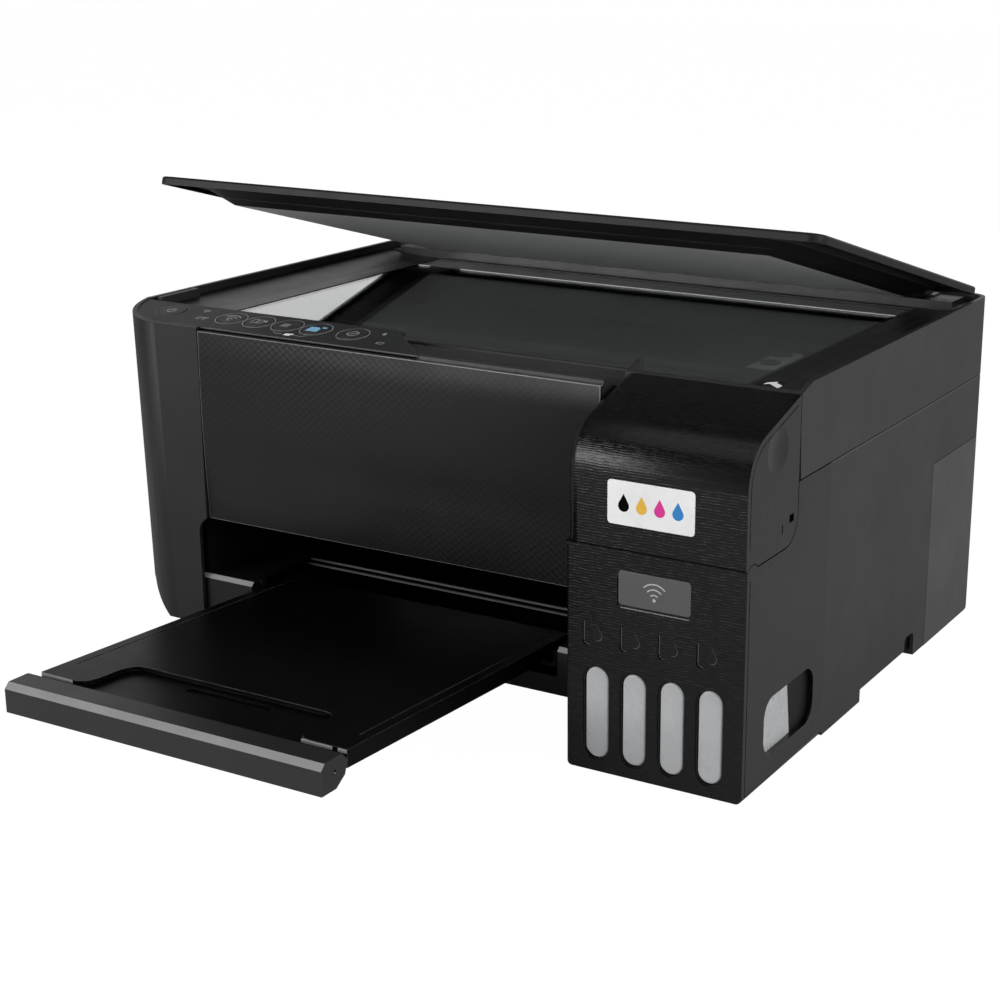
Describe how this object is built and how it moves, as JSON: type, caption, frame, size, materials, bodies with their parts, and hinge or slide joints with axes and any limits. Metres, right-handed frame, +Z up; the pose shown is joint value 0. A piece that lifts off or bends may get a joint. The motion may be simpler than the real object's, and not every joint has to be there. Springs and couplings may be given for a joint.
{
  "type": "inkjet printer",
  "caption": "Ink-tank inkjet printer with flatbed scanner, hinged document cover, output tray, rear paper feeder, print carriage and refillable tanks.",
  "frame": {"origin": "middle of the bounding box on the table plane, under the feet, with the tray out and the document cover ajar", "axes": "+X to the user's right, +Y to the back, +Z up"},
  "size_m": [0.375, 0.481, 0.2362],
  "materials": {
    "case_black": "satin moulded plastic",
    "side_black": "fine matte texture",
    "front_black": "fine moulded texture",
    "panel_grey": "matte grey",
    "key_grey": "matte grey with pale icons",
    "inner_black": "plain moulded plastic",
    "pad_grey": "dark grey sheet over foam",
    "lid_black": "fine textured plastic",
    "tank_clear": "milky translucent plastic",
    "glass": "float glass",
    "rubber": "matt rubber",
    "steel": "zinc plated sheet",
    "gear_white": "natural acetal",
    "roller_grey": "ground rubber on a steel shaft",
    "board_green": "circuit board with black parts",
    "tube_clear": "clear flexible tube"
  },
  "bodies": {
    "chassis": {"base_case": "inner_black", "rubber_feet": "rubber", "left_corner_cover": "case_black", "left_side_cover": "side_black", "right_side_cover": "side_black", "right_rear_cover": "side_black", "rear_cover": "inner_black", "front_panel": "front_black", "front_strip": "case_black", "control_panel": "panel_grey", "tank_housing": "case_black", "ink_tank_1": "tank_clear", "ink_tank_2": "tank_clear", "ink_tank_3": "tank_clear", "ink_tank_4": "tank_clear", "ink_tubes": "tube_clear", "mech_frame": "steel", "platen": "inner_black", "star_wheel_holder": "inner_black", "drive_motors": "steel", "capping_station": "panel_grey", "carriage_belt": "rubber", "feeder_housing": "case_black", "power_supply": "inner_black", "main_board": "board_green"},
    "scanner_unit": {"scanner_case": "case_black", "scanner_top_frame": "case_black", "scan_glass": "glass"},
    "sensor_carriage": {"scan_sensor_bar": "inner_black"},
    "scan_pulley_body": {"scan_pulley": "gear_white"},
    "document_lid": {"document_cover": "lid_black", "document_pad": "pad_grey"},
    "tank_lid": {"tank_cover": "case_black"},
    "tray_body": {"output_tray": "inner_black"},
    "extension_body": {"tray_extension": "inner_black"},
    "carriage": {"print_carriage": "inner_black", "print_head": "steel"},
    "drive_pulley_body": {"drive_pulley": "gear_white"},
    "idler_pulley_body": {"idler_pulley": "gear_white"},
    "feed_roller_body": {"feed_roller": "roller_grey"},
    "eject_roller_body": {"eject_roller": "roller_grey"},
    "idler_gear_body": {"idler_gear": "gear_white"},
    "feed_pinion_body": {"feed_pinion": "gear_white"},
    "star_wheels_body": {"star_wheels": "steel"},
    "pinch_rollers_body": {"pinch_rollers": "gear_white"},
    "pickup_roller_body": {"pickup_roller": "roller_grey"},
    "hopper_plate_body": {"hopper_plate": "panel_grey"},
    "feeder_guard_body": {"feeder_guard": "case_black"},
    "edge_guide_body": {"edge_guide": "panel_grey"},
    "paper_support_body": {"paper_support": "case_black"},
    "tank_cap_1_body": {"tank_cap_1": "inner_black"},
    "tank_cap_2_body": {"tank_cap_2": "inner_black"},
    "tank_cap_3_body": {"tank_cap_3": "inner_black"},
    "tank_cap_4_body": {"tank_cap_4": "inner_black"},
    "power_key": {"power_button": "key_grey"},
    "network_key": {"network_button": "key_grey"},
    "status_key": {"status_button": "key_grey"},
    "mono_copy_key": {"mono_copy_button": "key_grey"},
    "color_copy_key": {"color_copy_button": "key_grey"},
    "stop_key": {"stop_button": "key_grey"}
  },
  "joints": [
    {"name": "scanner_tilt", "type": "hinge", "parent": "chassis", "child": "scanner_unit", "pos_m": [0, 0.1805, 0.162], "axis": [-1, 0, 0], "range_deg": [0, 25]},
    {"name": "lid_hinge", "type": "hinge", "parent": "scanner_unit", "child": "document_lid", "pos_m": [0, 0.1785, 0.1715], "axis": [-1, 0, 0], "range_deg": [-15, 55]},
    {"name": "sensor_slide", "type": "slide", "parent": "scanner_unit", "child": "sensor_carriage", "axis": [1, 0, 0], "range_m": [0, 0.298]},
    {"name": "scan_pulley_spin", "type": "hinge", "parent": "scanner_unit", "child": "scan_pulley_body", "pos_m": [0.128, 0.0795, 0.146], "axis": [0, 0, 1], "range_deg": [-5, 3115]},
    {"name": "tank_cover_hinge", "type": "hinge", "parent": "chassis", "child": "tank_lid", "pos_m": [0.14425, -0.1015, 0.101], "axis": [1, 0, 0], "range_deg": [0, 80]},
    {"name": "tank_cap_1_hinge", "type": "hinge", "parent": "chassis", "child": "tank_cap_1_body", "pos_m": [0.116, -0.0685, 0.1032], "axis": [-1, 0, 0], "range_deg": [0, 100]},
    {"name": "tank_cap_2_hinge", "type": "hinge", "parent": "chassis", "child": "tank_cap_2_body", "pos_m": [0.1345, -0.0685, 0.1032], "axis": [-1, 0, 0], "range_deg": [0, 100]},
    {"name": "tank_cap_3_hinge", "type": "hinge", "parent": "chassis", "child": "tank_cap_3_body", "pos_m": [0.153, -0.0685, 0.1032], "axis": [-1, 0, 0], "range_deg": [0, 100]},
    {"name": "tank_cap_4_hinge", "type": "hinge", "parent": "chassis", "child": "tank_cap_4_body", "pos_m": [0.1715, -0.0685, 0.1032], "axis": [-1, 0, 0], "range_deg": [0, 100]},
    {"name": "tray_slide", "type": "slide", "parent": "chassis", "child": "tray_body", "axis": [0, -0.9991, 0.0427], "range_m": [-0.155, 0]},
    {"name": "extension_slide", "type": "slide", "parent": "tray_body", "child": "extension_body", "axis": [0, -0.9991, 0.0427], "range_m": [0, 0.075]},
    {"name": "carriage_slide", "type": "slide", "parent": "chassis", "child": "carriage", "axis": [1, 0, 0], "range_m": [-0.25, 0]},
    {"name": "drive_pulley_spin", "type": "hinge", "parent": "chassis", "child": "drive_pulley_body", "pos_m": [-0.166, 0.0809, 0.104], "axis": [0, 1, 0], "range_deg": [-5, 2280]},
    {"name": "idler_pulley_spin", "type": "hinge", "parent": "chassis", "child": "idler_pulley_body", "pos_m": [0.1615, 0.0809, 0.104], "axis": [0, 1, 0], "range_deg": [-5, 2280]},
    {"name": "feed_spin", "type": "hinge", "parent": "chassis", "child": "feed_roller_body", "pos_m": [0, 0.0595, 0.064], "axis": [1, 0, 0], "continuous": true},
    {"name": "eject_spin", "type": "hinge", "parent": "chassis", "child": "eject_roller_body", "pos_m": [0, 0.0055, 0.064], "axis": [1, 0, 0], "continuous": true},
    {"name": "idler_gear_spin", "type": "hinge", "parent": "chassis", "child": "idler_gear_body", "pos_m": [-0.154, 0.0325, 0.064], "axis": [1, 0, 0], "continuous": true},
    {"name": "feed_pinion_spin", "type": "hinge", "parent": "chassis", "child": "feed_pinion_body", "pos_m": [-0.154, 0.08125, 0.05386], "axis": [1, 0, 0], "continuous": true},
    {"name": "star_wheel_spin", "type": "hinge", "parent": "chassis", "child": "star_wheels_body", "pos_m": [0, 0.0055, 0.073], "axis": [1, 0, 0], "continuous": true},
    {"name": "pinch_roller_spin", "type": "hinge", "parent": "chassis", "child": "pinch_rollers_body", "pos_m": [0, 0.06322, 0.07198], "axis": [1, 0, 0], "continuous": true},
    {"name": "pickup_spin", "type": "hinge", "parent": "chassis", "child": "pickup_roller_body", "pos_m": [0, 0.15341, 0.0909], "axis": [1, 0, 0], "continuous": true},
    {"name": "hopper_lift", "type": "hinge", "parent": "chassis", "child": "hopper_plate_body", "pos_m": [0, 0.1938, 0.125], "axis": [-1, 0, 0], "range_deg": [0, 3.5]},
    {"name": "feeder_guard_hinge", "type": "hinge", "parent": "chassis", "child": "feeder_guard_body", "pos_m": [0, 0.197, 0.1746], "axis": [1, 0, 0], "range_deg": [0, 85]},
    {"name": "edge_guide_slide", "type": "slide", "parent": "chassis", "child": "edge_guide_body", "axis": [1, 0, 0], "range_m": [0, 0.1]},
    {"name": "paper_support_slide", "type": "slide", "parent": "chassis", "child": "paper_support_body", "axis": [0, 0.4695, 0.8829], "range_m": [0, 0.085]},
    {"name": "power_press", "type": "slide", "parent": "chassis", "child": "power_key", "axis": [0, 0.1395, -0.9902], "range_m": [0, 0.0008], "stiffness_N_per_m": 500},
    {"name": "network_press", "type": "slide", "parent": "chassis", "child": "network_key", "axis": [0, 0.1395, -0.9902], "range_m": [0, 0.0008], "stiffness_N_per_m": 500},
    {"name": "status_press", "type": "slide", "parent": "chassis", "child": "status_key", "axis": [0, 0.1395, -0.9902], "range_m": [0, 0.0008], "stiffness_N_per_m": 500},
    {"name": "mono_copy_press", "type": "slide", "parent": "chassis", "child": "mono_copy_key", "axis": [0, 0.1395, -0.9902], "range_m": [0, 0.0008], "stiffness_N_per_m": 500},
    {"name": "color_copy_press", "type": "slide", "parent": "chassis", "child": "color_copy_key", "axis": [0, 0.1395, -0.9902], "range_m": [0, 0.0008], "stiffness_N_per_m": 500},
    {"name": "stop_press", "type": "slide", "parent": "chassis", "child": "stop_key", "axis": [0, 0.1395, -0.9902], "range_m": [0, 0.0008], "stiffness_N_per_m": 500}
  ],
  "couplings": [
    {"joint": "scan_pulley_spin", "follows": "sensor_slide", "rad_per_m": 181.82},
    {"joint": "drive_pulley_spin", "follows": "carriage_slide", "rad_per_m": -158.73},
    {"joint": "idler_pulley_spin", "follows": "carriage_slide", "rad_per_m": -158.73},
    {"joint": "eject_spin", "follows": "feed_spin", "ratio": 1},
    {"joint": "idler_gear_spin", "follows": "feed_spin", "ratio": -1.4545},
    {"joint": "feed_pinion_spin", "follows": "feed_spin", "ratio": -2},
    {"joint": "star_wheel_spin", "follows": "feed_spin", "ratio": -1.125},
    {"joint": "pinch_roller_spin", "follows": "feed_spin", "ratio": -1.4286}
  ]
}
